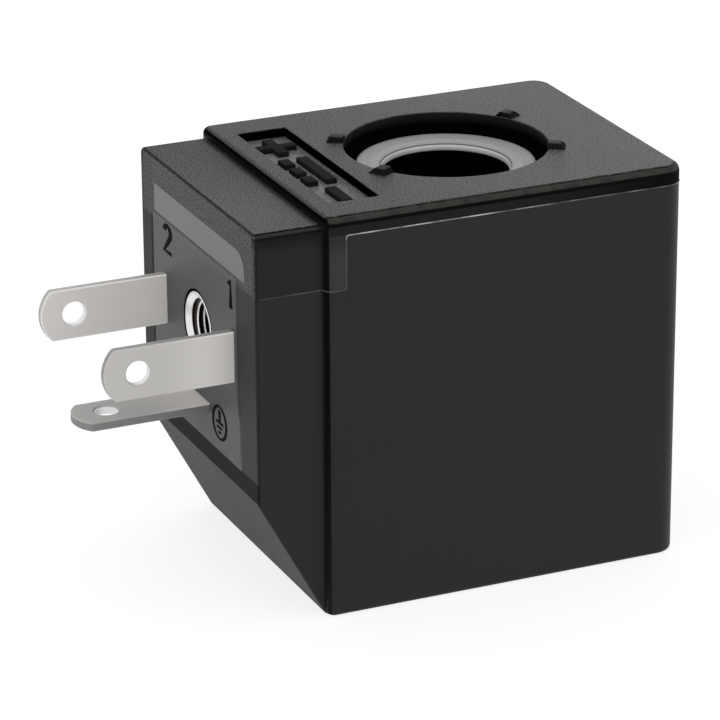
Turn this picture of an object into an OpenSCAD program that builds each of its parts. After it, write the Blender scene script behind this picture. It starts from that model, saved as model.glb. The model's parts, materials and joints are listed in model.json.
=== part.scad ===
// Encapsulated solenoid coil with a three-blade plug connector.
// The bore stands on +Z, its lower end is at the seating face z = 0, and the connector looks along -X.

/* [Moulded case] */
// Length of the main block, along X
case_l = 20.5; // [20:0.1:22]
// How far the bore stands from the middle of the main block, away from the connector
bore_shift = 0.35; // [0:0.05:0.4]
// Width of the main block, along Y
case_w = 16.9; // [16.2:0.1:17.6]
// Height of the main block
case_h = 22; // [20.5:0.1:25]
// Radius of the two upright edges away from the connector
far_round = 0.45; // [0.45:0.05:1.2]
// Radius of the two upright edges beside the connector
near_round = 0.45; // [0.45:0.05:0.8]
// Radius of the edges round the top
top_round = 0.4; // [0.2:0.05:0.44]
// Radius of the edges round the foot
foot_round = 0.25; // [0.1:0.05:0.4]
// Diameter of the round openings in the top and in the foot
opening_d = 10.9; // [10:0.1:11.6]
// Depth of the top opening, down to the steel
top_depth = 1; // [0.8:0.05:1.6]
// Diameter of the window in the floor of the top opening, where the steel shows
window_d = 9.5; // [9:0.1:9.9]
// Thickness of that floor, over the steel
floor_t = 0.2; // [0.1:0.05:0.4]
// Depth of the foot opening, up to the steel
foot_depth = 0.8; // [0.6:0.1:1.2]
// Bevel on the rim of the openings
rim_bevel = 0.06; // [0.05:0.01:0.2]
// Thinnest plastic beside the bobbin
side_wall = 1.2; // [0.9:0.1:1.6]
// Thinnest plastic behind the steel frame
end_wall = 1; // [0.9:0.1:1.5]

/* [Rating recess and teeth] */
// Width of the recess, along X
recess_w = 2.75; // [2:0.05:3.2]
// Length of the recess, along Y
recess_l = 12.3; // [8:0.1:13.5]
// Depth of the recess
recess_depth = 0.55; // [0.2:0.05:0.65]
// Corner radius of the recess
recess_round = 0.15; // [0.1:0.05:0.4]
// Angle between the length of the case and each tooth
tooth_angle = 30; // [20:1:40]
// Length of a tooth, outward from the opening
tooth_l = 0.9; // [0.6:0.05:1.2]
// Width of a tooth at its foot, along the rim
tooth_w = 1.1; // [0.9:0.05:1.4]
// Height of a tooth
tooth_h = 0.3; // [0.2:0.02:0.6]
// Length of the slope at a tooth's outer end
tooth_slope = 0.3; // [0.1:0.05:0.4]
// Length of the slope on each side of a tooth
tooth_draft = 0.3; // [0.1:0.05:0.35]

/* [Connector block] */
// How far the connector block stands out of the main block
conn_out = 3.6; // [3.2:0.05:4.5]
// Width of the connector block
conn_w = 15.9; // [14.6:0.1:15.9]
// Step from the top of the main block down to the connector block
conn_drop = 0.5; // [0.2:0.05:1]
// Radius of the connector block's top edges along X
conn_round = 0.5; // [0.2:0.05:0.8]
// Radius of the connector block's upright edges
conn_edge = 0.18; // [0.1:0.02:0.3]
// Height at which the slope under the connector block starts
slope_z = 6.8; // [6:0.1:7.2]
// Height at which that slope meets the main block
slope_foot = 0; // [0:0.1:1]
// Height of the plug pad's lower edge above the slope
pad_lift = 0.9; // [0.6:0.05:1.2]
// Width of the raised plug pad
pad_w = 12.2; // [11:0.1:13.5]
// Height of the raised plug pad
pad_h = 12.2; // [11:0.1:12.8]
// How far the plug pad is raised
pad_out = 0.1; // [0.05:0.05:0.5]
// Corner radius of the plug pad
pad_round = 0.9; // [0.4:0.1:1.5]

/* [Blades] */
// Width of a blade
blade_w = 2.8; // [2.4:0.1:3]
// Thickness of a blade
blade_t = 0.5; // [0.4:0.05:0.8]
// Length of a blade outside the plug pad
blade_out = 7.1; // [6:0.05:9]
// Distance between the two live blades
blade_pitch = 9.4; // [8.4:0.1:9.8]
// Height of the middle of the live blades
blade_z = 13.95; // [13.6:0.05:14.6]
// Height from the earth blade up to the middle of the live blades
earth_drop = 4.1; // [4:0.05:4.6]
// Height of the arc at a blade's tip
tip_rise = 0.6; // [0.3:0.05:0.9]
// Diameter of the hole in a blade
eye_d = 1.3; // [1:0.05:1.5]
// Distance from a blade's tip to the middle of its hole
eye_back = 1.85; // [1.6:0.05:2.4]
// How far the shoulder of a live blade stands out on each side
shoulder = 0.4; // [0.2:0.05:0.6]
// Length of the shoulder
shoulder_l = 1.6; // [1.2:0.1:1.8]
// Diameter of the anchor hole in the shoulder
anchor_d = 0.9; // [0.6:0.05:1]
// Width of a live blade's inner tail
tail_w = 1; // [0.8:0.1:1.4]
// Inside radius of the earth blade's bend
bend_r = 0.5; // [0.3:0.05:0.6]
// Width of the earth blade's foot, staked into the steel frame
tenon_w = 1.6; // [1:0.1:2]

/* [Threaded insert] */
// Diameter of the insert's collar in the connector face
collar_d = 3.7; // [3.4:0.05:4]
// Length of the collar
collar_l = 0.7; // [0.4:0.05:1]
// Diameter over the knurls
knurl_d = 4.3; // [4:0.05:4.6]
// Diameter of the groove between the knurls
groove_d = 3.7; // [3.4:0.05:3.9]
// Width of the groove
groove_w = 0.8; // [0.5:0.05:1]
// Length of the insert
insert_l = 4.2; // [3.6:0.05:4.2]
// Diameter of the tapped hole
tapped_d = 2.5; // [2:0.05:2.7]
// Depth of the tapped hole
tapped_l = 3.4; // [2.8:0.05:3.6]
// Bevel at the mouth of the tapped hole
mouth_bevel = 0.35; // [0.2:0.05:0.45]
// Number of knurls
knurls = 20; // [12:1:28]
// Depth of the knurls
knurl_depth = 0.1; // [0.05:0.01:0.15]

/* [Steel frame] */
// Diameter of the bore
bore_d = 6.8; // [6:0.1:7.2]
// Wall of the flux sleeves
sleeve_wall = 0.8; // [0.6:0.05:0.9]
// Length of the upper flux sleeve
upper_sleeve_l = 6.5; // [5:0.1:8]
// Length of the lower flux sleeve
lower_sleeve_l = 5.7; // [4:0.1:7]
// Radius at the mouth of a sleeve's bore
sleeve_round = 0.45; // [0.2:0.05:0.55]
// Thickness of the frame's steel strip
yoke_t = 1.2; // [0.9:0.05:1.4]
// Width of the strip
yoke_w = 12.4; // [11.6:0.1:13]
// Inside radius of the strip's bends, which also keeps its web clear of the bobbin
yoke_bend = 0.5; // [0.3:0.05:0.7]
// How far the arms reach past the axis
arm_reach = 6.4; // [6:0.1:6.8]
// Corner radius at the ends of the arms
arm_round = 1.5; // [0.8:0.1:2]
// Width of the tongue for the earth blade
tongue_w = 3.2; // [2.6:0.1:3.6]
// Steel beyond the slot in the tongue
tongue_end = 0.6; // [0.4:0.05:0.8]

/* [Bobbin and winding] */
// Wall of the bobbin's tube round the sleeves
hub_wall = 0.6; // [0.5:0.05:0.8]
// Thickness of the bobbin's flanges
flange_t = 0.9; // [0.7:0.05:1.2]
// How far the flanges stand out over the tape
flange_lip = 0.3; // [0.2:0.05:0.5]
// Diameter of the winding wire, as drawn
wire_d = 0.3; // [0.2:0.05:0.4]
// Thickness of the tape over the winding
tape_t = 0.12; // [0.08:0.01:0.16]
// Angle over which the tape's end overlaps
tape_lap = 40; // [20:5:80]
// Thickness of the wall that holds the live blades
wall_t = 1.2; // [0.9:0.05:1.3]
// Plastic of that wall beyond each live blade
wall_edge = 1.2; // [0.8:0.05:1.4]
// Plastic of that wall below the live blades
wall_foot = 0.6; // [0.4:0.05:0.9]
// Distance from the main block's connector side in to that wall
wall_inset = 1; // [0.8:0.05:1.2]
// Diameter of the lead wires
lead_d = 0.2; // [0.15:0.01:0.25]
// Turns of each lead wire round its tail
lead_turns = 2.5; // [1.5:0.5:3]
// Diameter of a drop of solder
solder_d = 1.3; // [1.25:0.05:1.5]

/* [Hidden] */
$fn = 64;

// Overlap that lets a cutter pass its face
past = 1;

// Heights, from the seating face up
foot_steel_z = foot_depth;
spool_z = foot_steel_z + yoke_t;
top_steel_z = case_h - top_depth;
spool_top = top_steel_z - yoke_t;
wind_z = spool_z + flange_t;
wind_top = spool_top - flange_t;
conn_top = case_h - conn_drop;
pad_z = slope_z + pad_lift;
earth_z = blade_z - earth_drop;

// Radii round the bore
bore_r = bore_d / 2;
sleeve_r = bore_r + sleeve_wall;
hub_r = sleeve_r + hub_wall;
flange_r = min(case_w / 2 - side_wall, case_l / 2 - bore_shift - end_wall - yoke_t - yoke_bend);
tape_r = flange_r - flange_lip;
wind_r = tape_r - tape_t;
opening_r = opening_d / 2;

// How far a tooth reaches down into the case, past the rim's bevel
tooth_root = 2 * rim_bevel;

// Step of a lead wire from turn to turn, in wire diameters
lead_spread = 1.2;
lead_pitch = lead_spread * lead_d;

// Depth of the grooves between the winding's outer turns, in wire diameters
turn_groove = 0.35;
turn_fn = 24;

// Places along X
near_x = -case_l / 2 - bore_shift;
far_x = case_l / 2 - bore_shift;
face_x = near_x - conn_out;
pad_x = face_x - pad_out;
tip_x = pad_x - blade_out;
wall_x = near_x + wall_inset;
wall_in_x = wall_x + wall_t;
wrap_x = wall_in_x + lead_d;
wrap_end_x = wrap_x + lead_turns * lead_pitch + lead_d / 2;
solder_x = wrap_end_x + solder_d / 2;
tail_x = solder_x + solder_d / 4;
web_x = flange_r + yoke_bend;
strap_x = near_x + wall_inset + tongue_end + blade_t;
recess_x = (near_x - opening_r) / 2;

// The blade wall of the bobbin
wall_half = blade_pitch / 2 + wall_edge;
wall_z = blade_z - blade_w / 2 - shoulder - wall_foot;

// A lead wraps on a circle that just clears the corners of its tail, then runs up to the winding
wrap_r = norm([tail_w, blade_t]) / 2 + lead_d / 2;
lead_end_r = tape_r + lead_d;
// How far a lead leans inward on its way up
lead_inward = 1.2;
// Points of a lead per turn, and round the wire
lead_steps = 16;
lead_sides = 8;

// Quarter of a disc in the first quadrant
module quarter(r) {
    intersection() {
        circle(r);
        square(r);
    }
}

// Half of an upright section, from x = 0 out to w, with its outer top and foot corners rounded
module half_section(w, h, r_top, r_foot) {
    translate([0, r_foot])
        square([w, h - r_top - r_foot]);
    translate([0, h - r_top])
        square([w - r_top, r_top]);
    translate([w - r_top, h - r_top])
        quarter(r_top);
    square([w - r_foot, r_foot]);
    translate([w - r_foot, r_foot])
        mirror([0, 1])
            quarter(r_foot);
}

// Rectangle with round corners, centred
module round_rectangle(w, h, r) {
    square([w, h - 2 * r], center = true);
    square([w - 2 * r, h], center = true);
    for (x = [-1, 1], y = [-1, 1])
        translate([x * (w / 2 - r), y * (h / 2 - r)])
            circle(r);
}

// One end of the main block: the flat end wall and its two rounded upright edges, looking along +X
module block_end(r) {
    side = case_w / 2 - r;
    translate([0, side, 0])
        rotate([90, 0, 0])
            linear_extrude(2 * side)
                half_section(r, case_h, top_round, foot_round);
    for (s = [0, 1])
        mirror([0, s, 0])
            translate([0, side, 0])
                rotate_extrude(angle = 90)
                    half_section(r, case_h, top_round, foot_round);
}

// The main block with all its edges rounded
module main_block() {
    translate([near_x + near_round, 0, 0])
        rotate([90, 0, 90])
            linear_extrude(case_l - near_round - far_round)
                for (s = [0, 1])
                    mirror([s, 0])
                        half_section(case_w / 2, case_h, top_round, foot_round);
    translate([far_x - far_round, 0, 0])
        block_end(far_round);
    mirror([1, 0, 0])
        translate([-near_x - near_round, 0, 0])
            block_end(near_round);
}

// Side view of the connector block, with the slope under it
module connector_side() {
    polygon([
        [face_x, slope_z], [face_x, conn_top], [near_x + near_round, conn_top],
        [near_x + near_round, slope_foot], [near_x, slope_foot]
    ]);
}

// End view of the connector block, with its top edges rounded
module connector_end() {
    for (s = [0, 1])
        mirror([s, 0])
            half_section(conn_w / 2, conn_top, conn_round, foot_round);
}

// Plan of the connector block, with its upright edges rounded
module connector_plan() {
    reach = conn_out + 2 * near_round;
    translate([face_x + reach / 2, 0])
        round_rectangle(reach, conn_w, conn_edge);
}

module connector_block() {
    intersection() {
        translate([0, conn_w / 2, 0])
            rotate([90, 0, 0])
                linear_extrude(conn_w)
                    connector_side();
        translate([face_x - past, 0, 0])
            rotate([90, 0, 90])
                linear_extrude(conn_out + near_round + 2 * past)
                    connector_end();
        linear_extrude(case_h)
            connector_plan();
    }
    translate([pad_x, 0, pad_z + pad_h / 2])
        rotate([90, 0, 90])
            linear_extrude(pad_out)
                round_rectangle(pad_w, pad_h, pad_round);
}

// One tooth on the rim of the top opening, with its sides and its outer end sloped.
// It reaches in over the opening, so that the cut of the opening makes its inner end.
module tooth() {
    foot = tooth_w / 2 + tooth_draft * tooth_root / tooth_h;
    crest = tooth_w / 2 - tooth_draft;
    lean = tooth_slope / tooth_h;
    intersection() {
        translate([opening_r - past, 0, case_h])
            rotate([90, 0, 90])
                linear_extrude(tooth_l + 2 * past)
                    polygon([[-foot, -tooth_root], [foot, -tooth_root], [crest, tooth_h], [-crest, tooth_h]]);
        translate([opening_r, tooth_w, case_h])
            rotate([90, 0, 0])
                linear_extrude(2 * tooth_w)
                    polygon([
                        [-2 * past, -past], [tooth_l + lean * past, -past],
                        [tooth_l - lean * past, past], [-2 * past, past]
                    ]);
    }
}

// Round cut of an opening, from z = 0 down
module opening(depth, r) {
    translate([0, 0, -depth])
        cylinder(h = depth + past, r = r);
}

// Bevel on the rim of an opening, from z = 0 down
module rim_cut() {
    translate([0, 0, -rim_bevel - past])
        cylinder(h = rim_bevel + 2 * past, r1 = opening_r - past, r2 = opening_r + rim_bevel + past);
}

// Outline of a blade, from its arc-ended tip at x = 0 along +X, with the eye
module blade_outline(length) {
    tip_arc = (blade_w * blade_w / 4 + tip_rise * tip_rise) / (2 * tip_rise);
    difference() {
        intersection() {
            translate([-past, -blade_w / 2])
                square([length + past, blade_w]);
            union() {
                translate([tip_arc, 0])
                    circle(tip_arc);
                translate([tip_arc, -blade_w])
                    square([length, 2 * blade_w]);
            }
        }
        translate([eye_back, 0])
            circle(d = eye_d);
    }
}

// Live blade with its shoulder and tail, in the middle plane
module live_blade() {
    translate([0, blade_t / 2, blade_z])
        rotate([90, 0, 0])
            linear_extrude(blade_t)
                difference() {
                    union() {
                        translate([tip_x, 0])
                            blade_outline(wall_x - shoulder_l - tip_x);
                        translate([wall_x - shoulder_l, -blade_w / 2 - shoulder])
                            square([shoulder_l, blade_w + 2 * shoulder]);
                        translate([wall_x, -tail_w / 2])
                            square([tail_x - wall_x, tail_w]);
                    }
                    translate([wall_x - shoulder_l / 2, 0])
                        circle(d = anchor_d);
                }
}

// Copies a live piece to the first blade (side -1) or the second blade (side 1)
module at_blade(side) {
    translate([0, side * blade_pitch / 2, 0])
        children();
}

// Strip of the steel frame seen from the side
module yoke_side() {
    outer = yoke_bend + yoke_t;
    difference() {
        yoke_corner(web_x + yoke_t, foot_steel_z, top_steel_z, outer);
        yoke_corner(web_x, spool_z, spool_top, yoke_bend);
    }
}

// Side area from the arm ends to x, with its two far corners rounded
module yoke_corner(x, z_low, z_high, r) {
    translate([-arm_reach, z_low])
        square([x - r + arm_reach, z_high - z_low]);
    translate([x - r, z_low + r])
        square([r, z_high - z_low - 2 * r]);
    translate([x - r, z_high - r])
        quarter(r);
    translate([x - r, z_low + r])
        mirror([0, 1])
            quarter(r);
}

// Plan of the strip, with the corners of the arms rounded
module yoke_plan() {
    length = arm_reach + web_x + yoke_t + arm_round;
    translate([length / 2 - arm_reach, 0])
        round_rectangle(length, yoke_w, arm_round);
}

// The steel frame without its sleeve holes
module yoke_solid() {
    intersection() {
        translate([0, yoke_w / 2, 0])
            rotate([90, 0, 0])
                linear_extrude(yoke_w)
                    yoke_side();
        linear_extrude(case_h)
            yoke_plan();
    }
    translate([strap_x - blade_t - tongue_end, -tongue_w / 2, foot_steel_z])
        cube([-arm_reach + arm_round - strap_x + blade_t + tongue_end, tongue_w, yoke_t]);
}

// Outside of the wound bobbin, round the bore axis
module spool_envelope() {
    translate([0, 0, spool_z])
        cylinder(h = flange_t, r = flange_r);
    translate([0, 0, wind_z])
        cylinder(h = wind_top - wind_z, r = tape_r + tape_t);
    translate([0, 0, wind_top])
        cylinder(h = flange_t, r = flange_r);
}

// The wall that holds the live blades, with its bridge to the upper flange
module blade_wall() {
    translate([wall_x, -wall_half, wall_z])
        cube([wall_t, 2 * wall_half, spool_top - wall_z]);
    translate([wall_x, -wall_half, wind_top])
        cube([-wall_x - hub_r, 2 * wall_half, flange_t]);
}

// Room for the tails, the leads and the solder
module lead_room() {
    translate([wall_in_x, -wall_half, wall_z])
        cube([-wall_in_x - hub_r, 2 * wall_half, wind_top - wall_z]);
}

// Outside of the insert, from its collar along +X
module insert_envelope() {
    cylinder(h = collar_l, d = collar_d);
    translate([0, 0, collar_l])
        cylinder(h = insert_l - collar_l, d = knurl_d);
}

// Stands an insert shape in the plug pad
module at_insert() {
    translate([pad_x, 0, blade_z])
        rotate([0, 90, 0])
            children();
}

// Everything that the plastic is moulded round, and the openings
module case_cuts() {
    translate([0, 0, case_h]) {
        opening(top_depth - floor_t, opening_r);
        opening(top_depth, window_d / 2);
    }
    mirror([0, 0, 1])
        opening(foot_depth, opening_r);
    translate([recess_x, 0, case_h - recess_depth])
        linear_extrude(recess_depth + past)
            round_rectangle(recess_w, recess_l, recess_round);
    yoke_solid();
    spool_envelope();
    blade_wall();
    lead_room();
    for (side = [-1, 1])
        at_blade(side)
            live_blade();
    earth_strip();
    at_insert()
        insert_envelope();
}

// The two blocks, with the rims of both openings bevelled
module bevelled_blocks() {
    difference() {
        union() {
            main_block();
            connector_block();
        }
        translate([0, 0, case_h])
            rim_cut();
        mirror([0, 0, 1])
            rim_cut();
    }
}

module moulded_case() {
    color("#2c2b2c")
        difference() {
            union() {
                bevelled_blocks();
                for (a = [tooth_angle, 180 - tooth_angle, 180 + tooth_angle, -tooth_angle])
                    rotate(a)
                        tooth();
            }
            case_cuts();
        }
}

module yoke_frame() {
    color("#a9a9a6")
        difference() {
            yoke_solid();
            translate([0, 0, foot_steel_z - past])
                cylinder(h = top_steel_z - foot_steel_z + 2 * past, r = sleeve_r);
            translate([strap_x - blade_t, -tenon_w / 2, foot_steel_z - past])
                cube([blade_t, tenon_w, yoke_t + 2 * past]);
        }
}

// A flux sleeve from z = 0 up, with the mouth of its bore rounded
module flux_sleeve(length) {
    color("#bdbdb9")
        rotate_extrude()
            translate([bore_r, 0]) {
                translate([sleeve_round, 0])
                    square([sleeve_wall - sleeve_round, length]);
                translate([0, sleeve_round])
                    square([sleeve_round, length - sleeve_round]);
                translate([sleeve_round, sleeve_round])
                    rotate(180)
                        quarter(sleeve_round);
            }
}

module upper_flux_sleeve() {
    translate([0, 0, top_steel_z])
        mirror([0, 0, 1])
            flux_sleeve(upper_sleeve_l);
}

module lower_flux_sleeve() {
    translate([0, 0, foot_steel_z])
        flux_sleeve(lower_sleeve_l);
}

module bobbin() {
    color("#3a3a38")
        difference() {
            union() {
                translate([0, 0, spool_z])
                    cylinder(h = spool_top - spool_z, r = hub_r);
                translate([0, 0, spool_z])
                    cylinder(h = flange_t, r = flange_r);
                translate([0, 0, wind_top])
                    cylinder(h = flange_t, r = flange_r);
                blade_wall();
            }
            translate([0, 0, spool_z - past])
                cylinder(h = spool_top - spool_z + 2 * past, r = bore_r);
            translate([0, 0, top_steel_z - upper_sleeve_l])
                cylinder(h = upper_sleeve_l, r = sleeve_r);
            translate([0, 0, foot_steel_z])
                cylinder(h = lower_sleeve_l, r = sleeve_r);
            for (side = [-1, 1])
                at_blade(side)
                    live_blade();
        }
}

// The winding, with the turns of its outer layer
module copper_winding() {
    turns = floor((wind_top - wind_z) / wire_d);
    pitch = (wind_top - wind_z) / turns;
    color("#b06a34")
        rotate_extrude() {
            translate([hub_r, wind_z])
                square([wind_r - turn_groove * wire_d - hub_r, wind_top - wind_z]);
            for (i = [0 : turns - 1])
                translate([wind_r - wire_d / 2, wind_z + (i + 0.5) * pitch])
                    circle(d = wire_d, $fn = turn_fn);
        }
}

// The tape, with its end lapped over its start
module winding_tape() {
    color("#c9a54a") {
        rotate_extrude()
            translate([wind_r, wind_z])
                square([tape_t, wind_top - wind_z]);
        rotate_extrude(angle = tape_lap)
            translate([tape_r, wind_z])
                square([tape_t, wind_top - wind_z]);
    }
}

module terminal_blade_1() {
    color("#bcbbb6")
        at_blade(-1)
            live_blade();
}

module terminal_blade_2() {
    color("#bcbbb6")
        at_blade(1)
            live_blade();
}

// The earth blade: its flat outer length, the bend and the strap down to the frame
module earth_strip() {
    bend_x = strap_x - blade_t - bend_r;
    bend_z = earth_z - blade_t / 2 - bend_r;
    translate([tip_x, 0, earth_z - blade_t / 2])
        linear_extrude(blade_t)
            blade_outline(bend_x - tip_x);
    translate([bend_x, blade_w / 2, bend_z])
        rotate([90, 0, 0])
            linear_extrude(blade_w)
                difference() {
                    quarter(bend_r + blade_t);
                    circle(bend_r);
                }
    translate([strap_x - blade_t, -blade_w / 2, spool_z])
        cube([blade_t, blade_w, bend_z - spool_z]);
    translate([strap_x - blade_t, -tenon_w / 2, foot_steel_z])
        cube([blade_t, tenon_w, yoke_t]);
}

module earth_blade() {
    color("#a09e99")
        earth_strip();
}

module screw_insert() {
    color("#d2d1cc")
        at_insert()
            difference() {
                insert_envelope();
                translate([0, 0, -past])
                    cylinder(h = tapped_l + past, d = tapped_d);
                translate([0, 0, -past])
                    cylinder(h = mouth_bevel + past, d1 = tapped_d + 2 * (mouth_bevel + past), d2 = tapped_d);
                translate([0, 0, (collar_l + insert_l - groove_w) / 2])
                    difference() {
                        cylinder(h = groove_w, d = knurl_d + past);
                        translate([0, 0, -past])
                            cylinder(h = groove_w + 2 * past, d = groove_d);
                    }
                for (i = [0 : knurls - 1])
                    rotate(i * 360 / knurls)
                        translate([knurl_d / 2, 0, collar_l])
                            rotate(45)
                                translate([-knurl_depth, -knurl_depth, 0])
                                    cube([2 * knurl_depth, 2 * knurl_depth, insert_l]);
            }
}

// Place on a lead's turns round the tail at y = 0, after i steps
function wrap_point(i) = [
    wrap_x + i / lead_steps * lead_pitch,
    wrap_r * cos(i * 360 / lead_steps),
    blade_z - wrap_r * sin(i * 360 / lead_steps)
];

// Place on the curve that leaves p straight up and ends at q, from t = 0 to 1
function lead_curve(p, q, t) =
    pow(1 - t, 2) * p + 2 * t * (1 - t) * [p.x, p.y, (p.z + q.z) / 2] + t * t * q;

// Route of a lead: the turns round its tail, then the curve up to the winding
function lead_route() =
    let (
        wraps = round(lead_steps * lead_turns),
        p = wrap_point(wraps),
        end_y = blade_pitch / 2 - lead_inward,
        q = [-sqrt(pow(lead_end_r, 2) - pow(end_y, 2)), -lead_inward, wind_top - lead_d]
    )
    concat(
        [for (i = [0 : wraps - 1]) wrap_point(i)],
        [for (i = [0 : lead_sides]) lead_curve(p, q, i / lead_sides)]
    );

function unit(v) = v / norm(v);

// Direction of a route at point i
function heading(route, i) = unit(route[min(i + 1, len(route) - 1)] - route[max(i - 1, 0)]);

// Points of one ring of wire round a route
function wire_ring(p, along) =
    let (u = unit(cross(along, [1, 0, 0])), v = cross(along, u))
    [for (k = [0 : lead_sides - 1])
        p + lead_d / 2 * (cos(k * 360 / lead_sides) * u + sin(k * 360 / lead_sides) * v)];

// A round wire swept along a route
module wire(route) {
    n = len(route);
    rings = [for (i = [0 : n - 1]) each wire_ring(route[i], heading(route, i))];
    sides = [for (i = [0 : n - 2], k = [0 : lead_sides - 1])
        let (a = i * lead_sides + k, b = i * lead_sides + (k + 1) % lead_sides)
        [a, a + lead_sides, b + lead_sides, b]];
    first = [for (k = [0 : lead_sides - 1]) k];
    last = [for (k = [lead_sides - 1 : -1 : 0]) (n - 1) * lead_sides + k];
    polyhedron(points = rings, faces = concat(sides, [first, last]));
}

// Lead of the second blade
module lead() {
    color("#b06a34")
        at_blade(1)
            wire(lead_route());
}

module start_lead() {
    mirror([0, 1, 0])
        lead();
}

module finish_lead() {
    lead();
}

module solder_joints() {
    color("#c8c8c4")
        for (side = [-1, 1])
            at_blade(side)
                difference() {
                    translate([solder_x, 0, blade_z])
                        sphere(d = solder_d);
                    live_blade();
                }
}

moulded_case();
yoke_frame();
upper_flux_sleeve();
lower_flux_sleeve();
bobbin();
copper_winding();
winding_tape();
terminal_blade_1();
terminal_blade_2();
earth_blade();
screw_insert();
start_lead();
finish_lead();
solder_joints();
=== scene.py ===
# %% [markdown]
# # A solenoid valve coil
# The object is the moulded coil of a small solenoid valve: a black plastic block with a round opening for
# the valve's tube, and a connector with three blades on one side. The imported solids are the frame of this
# scene. Each visible piece is either a solid of that frame with a finish of its own, or a new mesh in the
# same place.

# %% Load the frame
import json
import math

import bmesh
import bpy
from mathutils import Matrix, Vector

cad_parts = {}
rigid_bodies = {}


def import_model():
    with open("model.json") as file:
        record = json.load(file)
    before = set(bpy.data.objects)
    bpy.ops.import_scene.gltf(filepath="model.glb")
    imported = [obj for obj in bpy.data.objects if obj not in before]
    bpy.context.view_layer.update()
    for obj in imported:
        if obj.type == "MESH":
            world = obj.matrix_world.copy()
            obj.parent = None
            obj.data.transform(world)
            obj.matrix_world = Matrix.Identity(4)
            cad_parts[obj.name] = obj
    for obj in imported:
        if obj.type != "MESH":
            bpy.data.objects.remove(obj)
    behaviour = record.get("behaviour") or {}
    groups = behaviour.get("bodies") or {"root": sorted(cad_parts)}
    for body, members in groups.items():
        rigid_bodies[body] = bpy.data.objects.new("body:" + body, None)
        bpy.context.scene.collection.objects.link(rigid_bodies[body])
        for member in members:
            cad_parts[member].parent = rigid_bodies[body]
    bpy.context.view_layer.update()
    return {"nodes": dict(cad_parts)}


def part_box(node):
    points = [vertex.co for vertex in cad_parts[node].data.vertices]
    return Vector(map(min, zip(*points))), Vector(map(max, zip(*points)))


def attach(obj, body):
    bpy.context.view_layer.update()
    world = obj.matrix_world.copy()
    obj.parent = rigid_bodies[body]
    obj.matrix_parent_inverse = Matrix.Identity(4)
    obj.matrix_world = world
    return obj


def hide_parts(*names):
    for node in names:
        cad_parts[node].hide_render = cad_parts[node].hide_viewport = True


for leftover in list(bpy.data.objects):
    bpy.data.objects.remove(leftover)
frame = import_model()
nodes = frame["nodes"]
print("nodes in the frame:", len(nodes))

# %% [markdown]
# ## Sizes
# Blender works in metres, but a part of 22 mm is easier to read, and safer to cut, in millimetres. So all
# meshes are modelled in millimetres here, and scaled once when they become pieces. The outer sizes are read
# from the frame, and the rest are the few sizes that the solids' boxes don't show.

# %% Sizes in millimetres
MM = 0.001
case_low, case_high = (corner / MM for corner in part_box("moulded_case"))
FAR_X, HALF_W, PAD_X = case_high.x, case_high.y, case_low.x
# Length, width and height of the teeth on the opening's rim
TOOTH_L, TOOTH_W, TOOTH_H = 0.9, 1.1, 0.3
TOP = case_high.z - TOOTH_H
# The main block's end at the connector, and the radii of its upright edges, upper rim and foot
NEAR_X = -10.6
NEAR_ROUND, FAR_ROUND, RIM_ROUND, FOOT_ROUND = 0.45, 1.1, 0.4, 0.25
# The connector's face, half width, top, start of the slope and edge radius, and the pad that stands on it
PAD_PROUD = 0.012
CONN_X = PAD_X + PAD_PROUD
CONN_HALF, CONN_TOP, SLOPE_Z, CONN_ROUND = 7.95, 21.5, 6.8, 0.15
PAD_HALF, PAD_Z, PAD_ROUND = 6.1, (7.7, 19.9), 0.9
# Radii of the round opening, of the window at its foot and of the bore, and the lip round the window
OPENING_R, WINDOW_R, BORE_R, LIP = 5.45, 4.75, 3.4, 0.2
# Middle, half sizes and depth of the recess beside the step
RECESS_X, RECESS_HALF, RECESS_DEPTH = (NEAR_X - OPENING_R) / 2, (1.375, 6.15), 0.55
# Steel frame and blades: their heights, half width, thickness and broken edge, and the eye near each tip
FOOT_STEEL, TOP_STEEL = (corner.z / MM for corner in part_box("yoke_frame"))
BLADE_Y, BLADE_Z, BLADE_HALF, BLADE_T, BLADE_BREAK = 4.7, 13.95, 1.4, 0.5, 0.06
earth_low, earth_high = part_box("earth_blade")
EARTH_Z = earth_high.z / MM - BLADE_T / 2
EYE_INSET, EYE_R = 1.85, 0.65
EYE_X = earth_low.x / MM + EYE_INSET
# The insert's radius at the face and inside, its shoulder and length, and the radii of its thread
INSERT_FACE_R, INSERT_R, INSERT_SHOULDER, INSERT_L = 1.85, 2.13, 0.7, 4.15
THREAD_CREST, THREAD_ROOT = 1.27, 1.46
# The parting line's heights on the block and on the connector, and where it steps down
PART_HIGH, PART_LOW, PART_STEP = 21.0, 18.08, -9.5
print("case from", [round(v, 2) for v in case_low], "to", [round(v, 2) for v in case_high])

# %% [markdown]
# ## Camera
# The picture was taken with a long lens, so the edges hardly run together. The camera stands on the
# connector's side, a little above the part, and its place follows from the corners of the block.

# %% Camera
camera = bpy.data.objects.new("camera", bpy.data.cameras.new("camera"))
camera.data.lens = 199.4
camera.data.sensor_width = 36
camera.data.clip_start = 0.01
camera.location = Vector((-85.37, -181.59, 88.54)) * MM
camera.rotation_euler = [math.radians(angle) for angle in (68.55, 0.3, -23.98)]
bpy.context.scene.collection.objects.link(camera)
bpy.context.scene.camera = camera
bpy.context.scene.view_settings.view_transform = "Standard"
print("camera at", [round(v, 3) for v in camera.location])

# %% [markdown]
# ## Shader sums
# A finish is a small formula: a mask times a grain, one minus a mask, and so on. Wiring Math nodes by hand
# hides that formula, so one small class wraps a socket and lets Python's operators add the nodes.


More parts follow.
